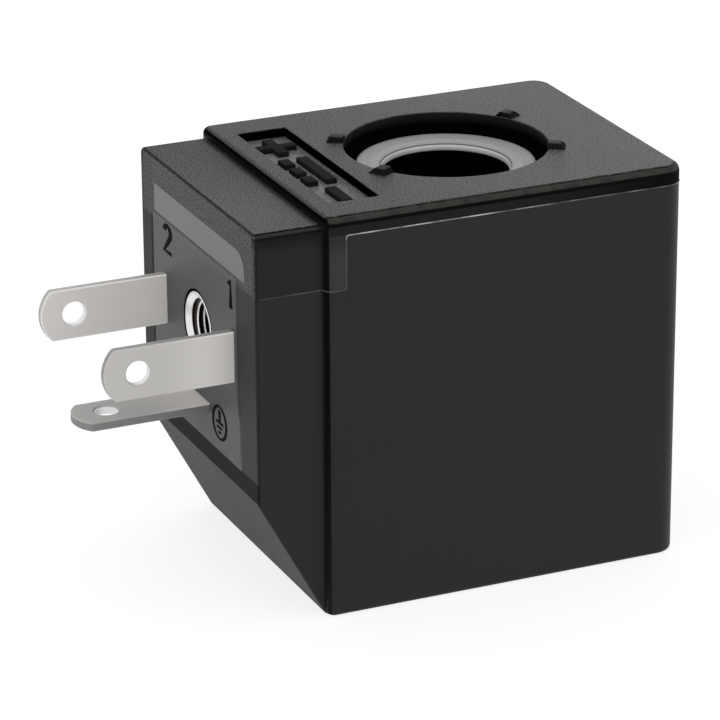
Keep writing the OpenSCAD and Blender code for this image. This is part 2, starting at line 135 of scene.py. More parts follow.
# %% A socket that can be calculated with
class Signal:
    """One output socket of a shader tree. Operators on it add Math nodes."""

    def __init__(self, tree, socket):
        self.tree = tree
        self.socket = socket

    def node(self, kind, settings=None, inputs=None, output=0):
        """Adds any node: its settings first, then the values or links of its sockets."""
        made = self.tree.nodes.new(kind)
        for name, value in (settings or {}).items():
            setattr(made, name, value)
        for key, value in (inputs or {}).items():
            if isinstance(value, Signal):
                self.tree.links.new(value.socket, made.inputs[key])
            else:
                made.inputs[key].default_value = value
        return Signal(self.tree, made.outputs[output])

    def math(self, operation, *terms):
        return self.node("ShaderNodeMath", {"operation": operation}, dict(enumerate(terms)))

    def __add__(self, other):
        return self.math("ADD", self, other)

    def __sub__(self, other):
        return self.math("SUBTRACT", self, other)

    def __rsub__(self, other):
        return self.math("SUBTRACT", other, self)

    def __mul__(self, other):
        return self.math("MULTIPLY", self, other)

    __radd__ = __add__
    __rmul__ = __mul__

    def __abs__(self):
        return self.math("ABSOLUTE", self)

    def __or__(self, other):
        return self.math("MAXIMUM", self, other)

    __ror__ = __or__

    def root(self):
        return self.math("SQRT", self)

    def step(self, start, end):
        """Rises smoothly from 0 at start to 1 at end. With start above end it falls."""
        low, high = min(start, end), max(start, end)
        smooth = {"interpolation_type": "SMOOTHSTEP"}
        rise = self.node("ShaderNodeMapRange", smooth, {0: self, 1: low, 2: high})
        return rise if start < end else 1 - rise

    def band(self, low, high, soft):
        """Is 1 between low and high, and fades to 0 outside them."""
        return self.step(low - soft, low) * self.step(high + soft, high)


# %% [markdown]
# Every finish starts in the same way: a material with a Principled shader, and the place on the part in
# millimetres. Object coordinates are used because each piece keeps its object at the origin, so all pieces
# share one set of places and a grain runs on from one to the next.

# %% A material to start from
SOCKETS = {
    "colour": "Base Color", "rough": "Roughness", "metal": "Metallic", "normal": "Normal",
    "gloss": "Specular IOR Level", "glow": "Emission Color", "glow_strength": "Emission Strength",
}


def grey(level, warm=0.0):
    """A grey of that linear brightness, a little warmer or cooler."""
    return (level * (1 + warm), level, level * (1 - warm), 1)


class Finish:
    """A new material, its Principled shader, and the place on the part in millimetres."""

    def __init__(self, name, **constants):
        self.material = bpy.data.materials.new(name)
        self.material.use_nodes = True
        self.tree = self.material.node_tree
        self.shader = self.tree.nodes["Principled BSDF"]
        for key, value in constants.items():
            self.shader.inputs[SOCKETS[key]].default_value = value
        metres = Signal(self.tree, None).node("ShaderNodeTexCoord", output="Object")
        scaled = {"operation": "SCALE"}
        self.place = metres.node("ShaderNodeVectorMath", scaled, {0: metres, "Scale": 1 / MM})
        self.x, self.y, self.z = (
            self.place.node("ShaderNodeSeparateXYZ", None, {0: self.place}, axis) for axis in range(3)
        )

    def noise(self, scale, detail=2.0, stretch=(1, 1, 1)):
        """Noise from 0 to 1 with that many waves per millimetre, squeezed along the axes by stretch."""
        at = self.place.node("ShaderNodeMapping", None, {"Vector": self.place, "Scale": stretch})
        return at.node("ShaderNodeTexNoise", None, {"Vector": at, "Scale": scale, "Detail": detail})

    def mix(self, mask, low, high):
        """Colour from low to high as the mask goes from 0 to 1."""
        return mask.node("ShaderNodeMix", {"data_type": "RGBA"}, {0: mask, 6: low, 7: high}, 2)

    def radius(self):
        """Distance from the bore's axis."""
        return (self.x * self.x + self.y * self.y).root()

    def from_insert(self):
        """Distance from the insert's axis."""
        up = self.z - BLADE_Z
        return (self.y * self.y + up * up).root()

    def bump(self, height, depth):
        """Normal of a relief whose height from 0 to 1 is that many millimetres deep."""
        sockets = {"Strength": 1.0, "Distance": depth * MM, "Height": height}
        return height.node("ShaderNodeBump", None, sockets)

    def wear(self, **channels):
        """Links signals to the shader's sockets, and gives back the material."""
        for key, signal in channels.items():
            self.tree.links.new(signal.socket, self.shader.inputs[SOCKETS[key]])
        return self.material

    def paint_shade(self, mask):
        """Paints shade: where the mask is 1, mixes in a black that sends no light back."""
        lively = Signal(self.tree, self.shader.outputs[0])
        dead = lively.node(
            "ShaderNodeBsdfPrincipled", None,
            {"Base Color": grey(0.001), "Roughness": 1.0, "Specular IOR Level": 0.0},
        )
        mixed = mask.node("ShaderNodeMixShader", None, {0: mask, 1: lively, 2: dead})
        self.tree.links.new(mixed.socket, self.tree.nodes["Material Output"].inputs["Surface"])


# %% [markdown]
# ## Black plastic
# The case is glass-filled plastic in one moulding. Its top, and the upper part of the connector, came from
# the spark-eroded half of the mould, so they carry a fine grain that catches the light. The walls came from
# a polished half and stay dark. Both halves are one material with masks, because the grain runs up to the
# parting line. Walls of openings and the lines along sharp edges are painted dead black as shade, and get a
# mask of their own. Each mask below is 1 in its place, and the small numbers in it say how softly it ends.


# %% Rims and recess of the case
def plain_corners(f):
    """The two round upright corners of the plain end."""
    return (f.x + abs(f.y) - FAR_X - HALF_W).step(-FAR_ROUND - 0.15, -FAR_ROUND - 0.1)


def block_rim(f):
    """The rounded rim round the top of the main block, apart from the side of the step."""
    sides = abs(f.y).step(HALF_W - 0.5, HALF_W - 0.42) * f.x.step(NEAR_X + 0.05, NEAR_X + 0.2)
    return sides | f.x.step(FAR_X - 0.3, FAR_X - 0.2) | plain_corners(f)


def plug_rim(f):
    """The rounded edges along both sides of the connector's top."""
    return abs(f.y).step(CONN_HALF - 0.45, CONN_HALF - 0.35) * f.x.step(NEAR_X, NEAR_X - 0.03)


def in_recess(f):
    """The recess, with its walls."""
    half_w, half_l = RECESS_HALF
    across = abs(f.x - RECESS_X).step(half_w + 0.06, half_w + 0.03)
    return across * abs(f.y).step(half_l + 0.06, half_l + 0.03)


# %% Where shade is painted on the case
def shaded_walls(f):
    """Painted shade on the walls of the opening, the recess, the step and the insert's seat, and on the
    sides of the teeth.
    """
    radius = f.radius()
    opening = radius.step(OPENING_R + 0.05, OPENING_R + 0.02) * f.z.band(0.1, TOP - 0.06, 0.04)
    opening = opening * (0.2 + 0.8 * f.z.step(TOP - 0.1, TOP_STEEL + LIP))
    crest = f.z.step(TOP + TOOTH_H - 0.08, TOP + TOOTH_H)
    teeth = radius.band(OPENING_R - 0.1, OPENING_R + TOOTH_L + 0.05, 0.05)
    teeth = teeth * f.z.step(TOP, TOP + 0.03) * (0.88 - 0.4 * crest)
    recess = in_recess(f) * f.z.band(TOP - RECESS_DEPTH + 0.05, TOP - 0.04, 0.02)
    step = f.x.band(NEAR_X - 0.03, NEAR_X + 0.11, 0.03) * f.z.band(CONN_TOP + 0.01, TOP - 0.12, 0.03)
    step = step * (0.55 + 0.43 * f.z.step(CONN_TOP, TOP - 0.2))
    seat = f.from_insert().step(INSERT_FACE_R + 0.19, INSERT_FACE_R + 0.13)
    seat = seat * f.x.step(CONN_X + 0.1, CONN_X)
    return opening | teeth | recess | step | seat


def shaded_block_edges(f, wavy):
    """Painted shade in lines along the block's rim, on the wall above its parting line, and along its edge
    at the connector.
    """
    across = abs(f.y)
    patchy = f.noise(1.1, 3.0).step(0.3, 0.6)
    upper_line = (0.45 + 0.35 * patchy) * wavy.band(TOP - 0.045, TOP - 0.015, 0.015)
    lower_line = 0.85 * wavy.band(TOP - 0.48, TOP - 0.34, 0.08)
    outside = across.step(HALF_W - 0.1, HALF_W - 0.05) | f.x.step(FAR_X - 0.1, FAR_X - 0.05)
    wall = (outside | plain_corners(f)) * wavy.band(PART_HIGH + 0.06, TOP - 0.4, 0.05)
    wall = wall * (0.45 + 0.4 * f.x.step(-2.0, FAR_X))
    near_edge = f.x.band(NEAR_X + 0.05, NEAR_X + 0.17, 0.05) * across.step(HALF_W - 0.55, HALF_W - 0.5)
    near_edge = near_edge * (0.6 + 0.25 * f.z.step(0.0, 14.0))
    return block_rim(f) * (upper_line | lower_line) | wall | near_edge


def shaded_plug_edges(f, wavy):
    """Painted shade in lines along the connector's rim, front and corners, and on the upper part of its
    sides.
    """
    upper_line = 0.95 * wavy.band(CONN_TOP - 0.05, CONN_TOP - 0.02, 0.01)
    lower_line = 0.7 * wavy.band(CONN_TOP - 0.3, CONN_TOP - 0.2, 0.04)
    side = f.z.band(PART_LOW + 0.03, CONN_TOP - 0.2, 0.03)
    side = side * (0.2 + 0.35 * f.z.step(CONN_TOP - 1.2, CONN_TOP - 0.3))
    front = 0.75 * (f.x - CONN_X + (CONN_TOP - f.z)).step(0.17, 0.07)
    corner = (f.x - CONN_X + (CONN_HALF - abs(f.y))).step(0.2, 0.07)
    corner = corner * (0.35 + 0.35 * f.z.step(PART_LOW - 0.18, PART_LOW + 0.22))
    return plug_rim(f) * (upper_line | lower_line | side) | front | corner


def painted_shade_places(f):
    """Painted shade on walls and edges of the case. The lines along its rims waver a little."""
    wavy = f.z + 0.03 * (f.noise(2.5, 3.0) - 0.5)
    return shaded_walls(f) | shaded_block_edges(f, wavy) | shaded_plug_edges(f, wavy)


# %% [markdown]
# The other places differ in how pale and how rough they are: the grained top, the smooth panel of the
# connector's face and the border round it, whose lower part is painted darker as shade, the slope, the
# strip beside the parting line's step, the floor of the recess, the foot of the step, which carries a
# painted shadow, and the rims, which carry a painted olive highlight in patches. One class gathers these
# masks by name, so that the finish reads as a list of places.

# %% Places on the case
PANEL_Y, PANEL_Z = (-5.3, 6.25), (7.95, 18.3)


class CasePlaces:
    """Masks of the named places on the case."""

    def __init__(self, f):
        across = abs(f.y)
        floor_z = TOP - RECESS_DEPTH
        self.plug = f.x.step(NEAR_X, NEAR_X - 0.03)
        self.main_top = f.z.step(TOP - 0.06, TOP - 0.02)
        self.top = f.z.step(CONN_TOP - 0.06, CONN_TOP - 0.01) * (self.plug | self.main_top)
        self.plug_top = self.plug * self.top
        # Painted shadow on the connector's top at the foot of the step.
        self.step_shadow = self.plug_top * f.x.step(NEAR_X - 0.5, NEAR_X)
        self.step_shadow = self.step_shadow * across.step(HALF_W - 0.15, HALF_W - 1.95)
        self.recess_floor = in_recess(f) * f.z.band(floor_z - 0.05, floor_z + 0.05, 0.05)
        self.slope = self.plug * f.z.step(SLOPE_Z, SLOPE_Z - 0.1)
        self.slope = self.slope * across.step(CONN_HALF - 0.03, CONN_HALF - 0.1)
        self.strip = f.x.band(NEAR_X + 0.2, PART_STEP, 0.05) * f.z.step(PART_LOW - 0.05, PART_LOW)
        self.strip = self.strip * f.z.step(PART_HIGH, PART_HIGH - 1.4)
        self.mark_face(f)
        self.mark_rim_highlight(f)

    def mark_face(self, f):
        """The connector's face: its grained part, its panel, and the border round the panel."""
        near_side, far_side = PANEL_Y
        low, high = PANEL_Z
        face = f.x.step(CONN_X + 0.1, CONN_X + 0.04) * f.z.step(SLOPE_Z, SLOPE_Z + 0.1)
        near_line = near_side - 0.4 * f.z.step(11.6, 10.1)
        width = (f.y - near_line).step(-0.12, 0.12) * f.y.step(far_side + 0.05, far_side - 0.05)
        self.grained = self.top | face * f.z.step(PART_LOW - 0.03, PART_LOW + 0.12)
        self.panel = face * width * f.z.band(low, high, 0.1)
        self.border = face * (1 - self.panel)
        # Painted shade: the border under the panel is left darker.
        self.shaded_low_border = self.border * f.z.step(low + 0.1, low - 0.1)
        self.far_border = self.border * f.y.step(far_side - 0.15, far_side + 0.05)
        self.far_line = self.border * f.y.band(far_side, far_side + 0.25, 0.06)
        self.far_line = self.far_line * f.z.step(high + 0.1, high - 0.1)

    def mark_rim_highlight(self, f):
        """A painted olive highlight on the rounded rims, in patches."""
        block = block_rim(f) * f.z.band(TOP - 0.28, TOP - 0.05, 0.025)
        plug = 0.2 * plug_rim(f) * f.z.band(CONN_TOP - 0.18, CONN_TOP - 0.055, 0.012)
        self.rim_highlight = (block | plug) * f.noise(1.6, 3.0).step(0.25, 0.6)


# %% Case finish
BLACK, PALE, OLIVE_HIGHLIGHT = (0.0045, 0.0025, 0.0035, 1), grey(0.09), (0.028, 0.029, 0.022, 1)


def case_finish():
    """The black plastic of the case."""
    f = Finish("case_black", gloss=0.3)
    at = CasePlaces(f)
    grain, speck = f.noise(6.0, 3.0).step(0.3, 0.7), f.noise(10.0, 1.0).step(0.42, 0.58)
    cloud, drawn = f.noise(0.25, 4.0), f.noise(1.0, 3.0, (1, 1, 0.12))
    # Painted light: the main block's top is made paler towards the plain end.
    light = at.grained * (0.15 * grain + 0.85 * speck) + 0.015 * f.x * at.main_top + 0.05 * cloud
    # The border is paler, except its lower part, which is left darker as painted shade.
    light = light + 0.2 * at.strip + 0.2 * (at.border - at.shaded_low_border)
    light = light + 0.75 * at.panel * (0.8 + 0.4 * drawn)
    # The painted shadow at the foot of the step darkens the colour.
    colour = f.mix(light - at.step_shadow, BLACK, PALE)
    # Painted highlight: the rounded rims turn olive in patches.
    colour = f.mix(at.rim_highlight, colour, OLIVE_HIGHLIGHT)
    colour = f.mix(0.9 * at.recess_floor, colour, f.mix(speck, grey(0.1), grey(0.2)))
    rough = 0.42 + 0.1 * cloud + 0.05 * drawn + 0.12 * at.slope - 0.06 * at.strip + 0.2 * at.rim_highlight
    rough = rough - 0.06 * at.top + 0.06 * at.main_top * f.x.step(4.0, -10.0)
    rough = rough + at.plug_top * (0.05 + 0.14 * f.y.step(-6.0, 7.0)) + 0.5 * at.step_shadow
    rough = rough + 0.14 * at.border + 0.25 * at.shaded_low_border + 0.06 * at.far_border + 0.3 * at.far_line
    relief = at.grained * (grain + 0.6 * speck) + 0.1 * drawn
    # Painted shade: the case's walls and edge lines are mixed to dead black.
    f.paint_shade(painted_shade_places(f))
    return f.wear(colour=colour, rough=rough, normal=f.bump(relief, 0.01))


case_black = case_finish()
print("made", case_black.name)


# %% [markdown]
# The marks and the parting line are the same plastic. What sets them off is how they catch the light: ink
# and deep corners swallow it, the thin ridge of flash carries a painted highlight, and a polished field
# sends it back evenly.


# %% Finishes of the small details
def plain_finish(name, low, high, rough, scale, gloss):
    """A plastic whose brightness drifts between two greys."""
    f = Finish(name, gloss=gloss)
    drift = f.noise(scale, 3.0)
    return f.wear(colour=f.mix(drift, grey(low), grey(high)), rough=rough + 0.1 * drift)


def flash_finish():
    """The parting line's ridge, with a painted highlight along the block's wall that is dull where it drops
    to the connector.
    """
    f = Finish("flash_highlight", gloss=0.3)
    on_wall = f.x.step(NEAR_X + 0.2, NEAR_X + 0.3) * (1 - 0.75 * f.x.step(-5.0, 5.0))
    on_wall = on_wall * (1 - 0.95 * f.z.step(PART_HIGH - 0.1, PART_HIGH - 0.3))
    # Painted highlight along the ridge.
    bright = (0.1 + 0.9 * on_wall) * f.noise(0.7, 3.0).step(0.3, 0.7)
    return f.wear(colour=f.mix(bright, grey(0.03), grey(0.6)), rough=0.5 + 0.2 * f.noise(2.0))


mark_black = plain_finish("mark_black", low=0.001, high=0.004, rough=0.85, scale=3.0, gloss=0.1)
sign_black = plain_finish("sign_black", low=0.001, high=0.02, rough=0.8, scale=3.0, gloss=0.1)
field_grey = plain_finish("field_grey", low=0.2, high=0.21, rough=0.5, scale=0.4, gloss=0.2)
flash_highlight = flash_finish()
print("made", mark_black.name, sign_black.name, field_grey.name, flash_highlight.name)


# %% [markdown]
# ## Metals
# The blades are tin-plated brass, stamped from strip: rolled faces that look flat and pale, and sheared
# edges that are rougher and darker. The mask takes an edge to be what lies inside the strip's thickness,
# and on the level blade it takes the underside with it. Dull tin scatters more light than it mirrors, so it
# is only partly metallic. Each blade is painted paler from its tip towards its root, as painted light
# against the shade near the case, and the wall of the eye is painted near white, as painted light.


# %% Tin
def tin_finish(name, middle, level, tip, root):
    """The tin of a blade that is upright or level, painted paler from its brightness at the tip to that at
    the root, as painted light.
    """
    f = Finish(name, metal=0.2, gloss=1.0)
    warm, flat = 0.03, BLADE_T / 2 - BLADE_BREAK
    height = f.z - middle if level else abs(f.y - middle)
    beside = f.y if level else f.z - BLADE_Z
    along = f.x - EYE_X
    eye = (along * along + beside * beside).root().step(EYE_R + 0.2, EYE_R + 0.15)
    edge = height.step(flat, flat - 0.03)
    cut = edge * (1 - eye)
    rolled = f.noise(3.0, 4.0, (0.1, 1, 1))
    sheared = f.noise(8.0, 2.0, (1, 1, 0.2))
    # Painted light: the tin grows paler from the tip towards the root, against the shade near the case.
    tone = 1.7 * f.x.step(PAD_X - 4.6, PAD_X + 2.6) + 0.06 * rolled
    colour = f.mix(tone, grey(tip, warm), grey(root, warm))
    colour = f.mix(cut, colour, grey(tip * 0.55, warm))
    # Painted light: the eye's wall is painted near white.
    colour = f.mix(edge * eye, colour, grey(0.95))
    return f.wear(colour=colour, rough=0.45 + 0.1 * rolled + 0.15 * cut * sheared)


blade_tin = {
    "terminal_blade_1": tin_finish("tin_1", -BLADE_Y, level=False, tip=0.56, root=0.94),
    "terminal_blade_2": tin_finish("tin_2", BLADE_Y, level=False, tip=0.84, root=0.97),
    "earth_blade": tin_finish("tin_3", EARTH_Z, level=True, tip=0.4, root=0.84),
}
print("made", ", ".join(material.name for material in blade_tin.values()))


# %% [markdown]
# The yoke and the sleeves are zinc-plated steel that was turned round the bore, so their grain runs in
# rings. The bore itself is painted dead black as shade, and only its rounded mouth is bright, with a
# painted highlight.

# %% Steel and nickel
MOUTH = 0.44


def steel_finish(name, low, high, rough, metal):
    """Turned steel between two greys. The lower part of each rounded mouth carries a painted highlight,
    below a dark line, and the bore below the mouth is painted dead black as shade.
    """
    f = Finish(name, metal=metal)
    radius = f.radius()
    depth = (TOP_STEEL - FOOT_STEEL) / 2 - abs(f.z - (TOP_STEEL + FOOT_STEEL) / 2)
    at = radius.node("ShaderNodeCombineXYZ", None, {0: radius, 2: f.z})
    rings = at.node("ShaderNodeTexNoise", None, {"Vector": at, "Scale": 9.0, "Detail": 3.0})
    stain = f.noise(0.8, 4.0)
    in_mouth = radius.step(BORE_R + MOUTH + 0.02, BORE_R + MOUTH - 0.02)
    colour = f.mix(0.6 * stain + 0.4 * rings, grey(low, 0.02), grey(high, 0.01))
    # Painted highlight on the lower part of the rounded mouth.
    colour = f.mix(in_mouth * depth.step(0.19, 0.22), colour, f.mix(stain, grey(0.6), grey(0.75)))
    colour = f.mix(in_mouth * depth.band(0.16, 0.2, 0.02), colour, grey(0.12))
    # Painted shade: the bore below the mouth is dead black.
    f.paint_shade(radius.step(BORE_R + 0.06, BORE_R + 0.03) * depth.step(MOUTH + 0.02, MOUTH + 0.08))
    return f.wear(colour=colour, rough=rough + 0.15 * stain, normal=f.bump(rings, 0.004))


def nickel_finish():
    """Bright nickel, with painted shade in the grooves of the thread and painted dead black shade deep in
    the hole.
    """
    f = Finish("nickel", metal=0.6)
    stain = f.noise(1.5, 3.0)
    inside = f.x.step(PAD_X + 0.22, PAD_X + 0.26)
    # Painted shade in the grooves of the thread.
    groove = inside * f.from_insert().step(THREAD_CREST + 0.04, THREAD_CREST + 0.09)
    colour = f.mix(groove, f.mix(stain, grey(0.85), grey(0.97)), (0.02, 0.012, 0.008, 1))
    # Painted shade: the hole is dead black from about 1.2 mm deep.
    f.paint_shade(f.x.step(PAD_X + 1.2, PAD_X + 1.6))
    return f.wear(colour=colour, rough=0.2 + 0.15 * stain)


yoke_steel = steel_finish("yoke_steel", low=0.32, high=0.4, rough=0.5, metal=0.4)
sleeve_steel = steel_finish("sleeve_steel", low=0.32, high=0.4, rough=0.45, metal=0.4)
solder = steel_finish("solder", low=0.5, high=0.65, rough=0.25, metal=0.9)
nickel = nickel_finish()
print("made", yoke_steel.name, sleeve_steel.name, solder.name, nickel.name)


# %% [markdown]
# The case hides the winding, its tape and the spool, but a bench view of the part shows them: enamelled
# copper that is orange to brown, amber film, and dark plastic. Each drifts between two tones.


# %% Wire, tape and spool
def wire_finish():
    """Enamelled copper."""
    f = Finish("copper_enamel", metal=0.9)
    tone = f.noise(1.5, 4.0)
    colour = f.mix(tone, (0.42, 0.13, 0.04, 1), (0.62, 0.25, 0.09, 1))
    return f.wear(colour=colour, rough=0.25 + 0.15 * tone)


def tape_finish():
    """Amber film, with streaks along the winding."""
    f = Finish("tape_film")
    tone = f.noise(0.9, 3.0, (1, 1, 0.3))
    colour = f.mix(tone, (0.5, 0.28, 0.03, 1), (0.75, 0.45, 0.08, 1))
    return f.wear(colour=colour, rough=0.3 + 0.2 * tone)


def spool_finish():
    """The spool's plastic, which is only seen as the wall of the bore, where it is painted dead black as
    shade.
    """
    f = Finish("spool_plastic", gloss=0.3)
    drift = f.noise(1.0, 3.0)
    f.paint_shade(f.radius().step(BORE_R + 0.2, BORE_R + 0.1))
    return f.wear(colour=f.mix(drift, grey(0.02), grey(0.035)), rough=0.5 + 0.1 * drift)


copper, film, spool_plastic = wire_finish(), tape_finish(), spool_finish()
print("made", copper.name, film.name, spool_plastic.name)

# %% [markdown]
# ## Tools for modelling
# Most pieces start as a box, an outline that is drawn out, or a section that is turned round an axis. These
# few helpers are what a workshop would have: a saw, a lathe, a file for the edges and a cutter for holes.


# %% Box, lathe and extrusion
def box_mesh(low, high):
    """A box between two corners."""
    low, high = Vector(low), Vector(high)
    bm = bmesh.new()
    place = Matrix.Translation((low + high) / 2) @ Matrix.Diagonal((*(high - low), 1))
    bmesh.ops.create_cube(bm, size=1, matrix=place)
    return bm


def arc(middle, radius, start, end, steps=8):
    """Points on an arc in a plane, by angles in degrees."""
    angles = [math.radians(start + (end - start) * i / steps) for i in range(steps + 1)]
    return [(middle[0] + radius * math.cos(a), middle[1] + radius * math.sin(a)) for a in angles]


def drawn_out(outline, along):
    """An outline of corners, drawn out along a vector into a solid."""
    bm = bmesh.new()
    face = bm.faces.new([bm.verts.new(corner) for corner in outline])
    new = bmesh.ops.extrude_face_region(bm, geom=[face])["geom"]
    bmesh.ops.translate(bm, vec=along, verts=[v for v in new if isinstance(v, bmesh.types.BMVert)])
    bmesh.ops.recalc_face_normals(bm, faces=bm.faces)
    return bm


def turned(section, steps=96):
    """A section of (radius, height) points, turned round the Z axis."""
    bm = bmesh.new()
    chain = [bm.verts.new((r, 0, z)) for r, z in section]
    edges = [bm.edges.new(pair) for pair in zip(chain, chain[1:])]
    bmesh.ops.spin(
        bm, geom=chain + edges, cent=(0, 0, 0), axis=(0, 0, 1), angle=2 * math.pi, steps=steps,
        use_merge=True, use_duplicate=False,
    )
    bmesh.ops.remove_doubles(bm, verts=bm.verts, dist=1e-5)
    bmesh.ops.recalc_face_normals(bm, faces=bm.faces)
    return bm


# %% [markdown]
# The file is a bevel on chosen edges. The cutter is Blender's boolean modifier, which is put on a scratch
# object, evaluated, and read back as a mesh, so no modifier of it is left on a piece.


# %% File and cutter
def near(a, b):
    """Whether two lengths are the same."""
    return abs(a - b) < 1e-3


def upright(edge):
    """Whether an edge runs along Z."""
    a, b = (v.co for v in edge.verts)
    return near(a.x, b.x) and near(a.y, b.y)


def edges_where(bm, test):
    """The edges whose two ends both pass the test."""
    return [e for e in bm.edges if all(test(v.co) for v in e.verts)]


def round_edges(bm, edges, radius, steps):
    """Rounds those edges."""
    bmesh.ops.bevel(
        bm, geom=edges, offset=radius, offset_type="OFFSET", segments=steps, profile=0.5,
        affect="EDGES", clamp_overlap=False, material=-1,
    )


def as_object(bm, name):
    """An object of that mesh, linked to the scene."""
    mesh = bpy.data.meshes.new(name)
    bm.to_mesh(mesh)
    bm.free()
    obj = bpy.data.objects.new(name, mesh)
    bpy.context.scene.collection.objects.link(obj)
    return obj


def evaluated(obj):
    """A new mesh to edit, of the object after its modifiers."""
    shaped = obj.evaluated_get(bpy.context.evaluated_depsgraph_get())
    result = bmesh.new()
    result.from_mesh(shaped.to_mesh())
    return result


def combined(bm, tools, operation):
    """The mesh after each tool was joined to it (UNION) or cut from it (DIFFERENCE)."""
    base = as_object(bm, "stock")
    helpers = [as_object(tool, "tool") for tool in tools]
    for helper in helpers:
        cut = base.modifiers.new(helper.name, "BOOLEAN")
        cut.operation = operation
        cut.solver = "EXACT"
        cut.object = helper
    result = evaluated(base)
    for obj in [base, *helpers]:
        bpy.data.objects.remove(obj)
    bmesh.ops.remove_doubles(result, verts=result.verts, dist=1e-4)
    bmesh.ops.dissolve_degenerate(result, edges=result.edges, dist=1e-4)
    return result


# %% [markdown]
# A mesh becomes a piece when it is scaled to metres, shaded smooth between its sharp edges, and tied to the
# part's body. Weighted normals keep the large faces flat beside their small bevels.

# %% From mesh to piece
SHARP = math.radians(35)


def piece(bm, name, material, replaces=()):
    """Scales a mesh to metres and makes it a piece of the part."""
    bmesh.ops.scale(bm, vec=(MM, MM, MM), verts=bm.verts)
    for face in bm.faces:
        face.smooth = True
    for edge in bm.edges:
        edge.smooth = edge.calc_face_angle(0) < SHARP
    faces = len(bm.faces)
    obj = as_object(bm, name)
    obj.data.materials.append(material)
    even = obj.modifiers.new("even_shading", "WEIGHTED_NORMAL")
    even.keep_sharp = True
    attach(obj, "root")
    if replaces:
        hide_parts(*replaces)
    print(name, "has", faces, "faces")


# %% [markdown]
# ## Case
# The main block is a box whose upright edges and rims are rounded in turn. Rounding the upright edges first
# lets the rim's rounding run round the corners. The plain end is rounder than the end with the connector.


# %% Main block
def main_block():
    """The block round the bore."""
    bm = box_mesh((NEAR_X, -HALF_W, 0), (FAR_X, HALF_W, TOP))
    for x, radius in ((NEAR_X, NEAR_ROUND), (FAR_X, FAR_ROUND)):
        round_edges(bm, [e for e in bm.edges if upright(e) and near(e.verts[0].co.x, x)], radius, 6)
    round_edges(bm, edges_where(bm, lambda v: near(v.z, TOP)), RIM_ROUND, 6)
    round_edges(bm, edges_where(bm, lambda v: near(v.z, 0)), FOOT_ROUND, 4)
    return bm


# %% [markdown]
# The connector is drawn out from its side view, which has the slope in it, and the raised pad for the plug
# lies on its face. Both reach a little into what carries them, so that the union has no faces that only
# touch.

# %% Connector and pad
SUNK = 1.0
HAIR = 0.02


def connector_block():
    """The connector, with its sloped underside."""
    inside = NEAR_X + SUNK
    face = [(CONN_X, SLOPE_Z), (CONN_X, CONN_TOP)]
    side = [*face, (inside, CONN_TOP), (inside, HAIR), (NEAR_X, HAIR)]
    bm = drawn_out([(x, -CONN_HALF, z) for x, z in side], (0, 2 * CONN_HALF, 0))
    top_edges = edges_where(bm, lambda v: near(v.z, CONN_TOP))
    round_edges(bm, [e for e in top_edges if near(e.verts[0].co.y, e.verts[1].co.y)], RIM_ROUND, 5)
    front = edges_where(bm, lambda v: near(v.x, CONN_X))
    slope = edges_where(bm, lambda v: v.x < NEAR_X + HAIR and v.z < SLOPE_Z + HAIR)
    round_edges(bm, list(set(front + slope)), CONN_ROUND, 3)
    return bm


def plug_pad(taper=0.92):
    """The pad that the plug sits against, a little smaller at its front."""
    bm = box_mesh((PAD_X, -PAD_HALF, PAD_Z[0]), (CONN_X + SUNK, PAD_HALF, PAD_Z[1]))
    corners = [e for e in bm.edges if not near(e.verts[0].co.x, e.verts[1].co.x)]
    round_edges(bm, corners, PAD_ROUND, 8)
    middle = Matrix.Translation((0, 0, -sum(PAD_Z) / 2))
    front = [v for v in bm.verts if near(v.co.x, PAD_X)]
    bmesh.ops.scale(bm, vec=(1, taper, taper), space=middle, verts=front)
    return bm


# %% [markdown]
# Four small teeth stand on the rim of the opening. One is drawn out from its end view, sloped at the outer
# end, filed, and turned to each of the four angles.

# %% Teeth
TOOTH_ANGLE = 30


def tooth(angle):
    """One tooth with sloped sides, whose inner end is left for the opening's cutter."""
    root, draft, inner, broken = 0.12, 0.3, OPENING_R - 0.4, 0.04
    foot, crest = TOOTH_W / 2 + draft * root / TOOTH_H, TOOTH_W / 2 - draft
    end = [(-foot, TOP - root), (foot, TOP - root), (crest, TOP + TOOTH_H), (-crest, TOP + TOOTH_H)]
    bm = drawn_out([(inner, y, z) for y, z in end], (OPENING_R + 2 * TOOTH_L - inner, 0, 0))
    outside = bmesh.ops.bisect_plane(
        bm, geom=[*bm.verts, *bm.edges, *bm.faces], plane_co=(OPENING_R + TOOTH_L, 0, TOP),
        plane_no=(1, 0, 1), clear_outer=True,
    )["geom_cut"]
    bmesh.ops.holes_fill(bm, edges=[e for e in outside if isinstance(e, bmesh.types.BMEdge)])
    bmesh.ops.recalc_face_normals(bm, faces=bm.faces)
    round_edges(bm, [e for e in bm.edges if max(v.co.z for v in e.verts) > TOP + HAIR], broken, 2)
    turn = Matrix.Rotation(math.radians(angle), 3, "Z")
    bmesh.ops.rotate(bm, cent=(0, 0, 0), matrix=turn, verts=bm.verts)
    return bm


# %% [markdown]
# The cutters make the openings, the recess, and the space that the plastic was moulded round. A cutter
# flares out where it leaves the surface, so its rim comes out bevelled and catches the light.

# %% Cutters for the top
PAST = 1.0
RIM = 0.06


def rim_cutters():
    """Cones that break the rims of both openings, before the teeth are set on the upper one."""
    wide = OPENING_R + RIM
    top = [(0, TOP - RIM), (OPENING_R, TOP - RIM), (wide + PAST, TOP + PAST), (0, TOP + PAST)]
    foot = [(0, -PAST), (wide + PAST, -PAST), (OPENING_R, RIM), (0, RIM)]
    return [turned(top), turned(foot)]


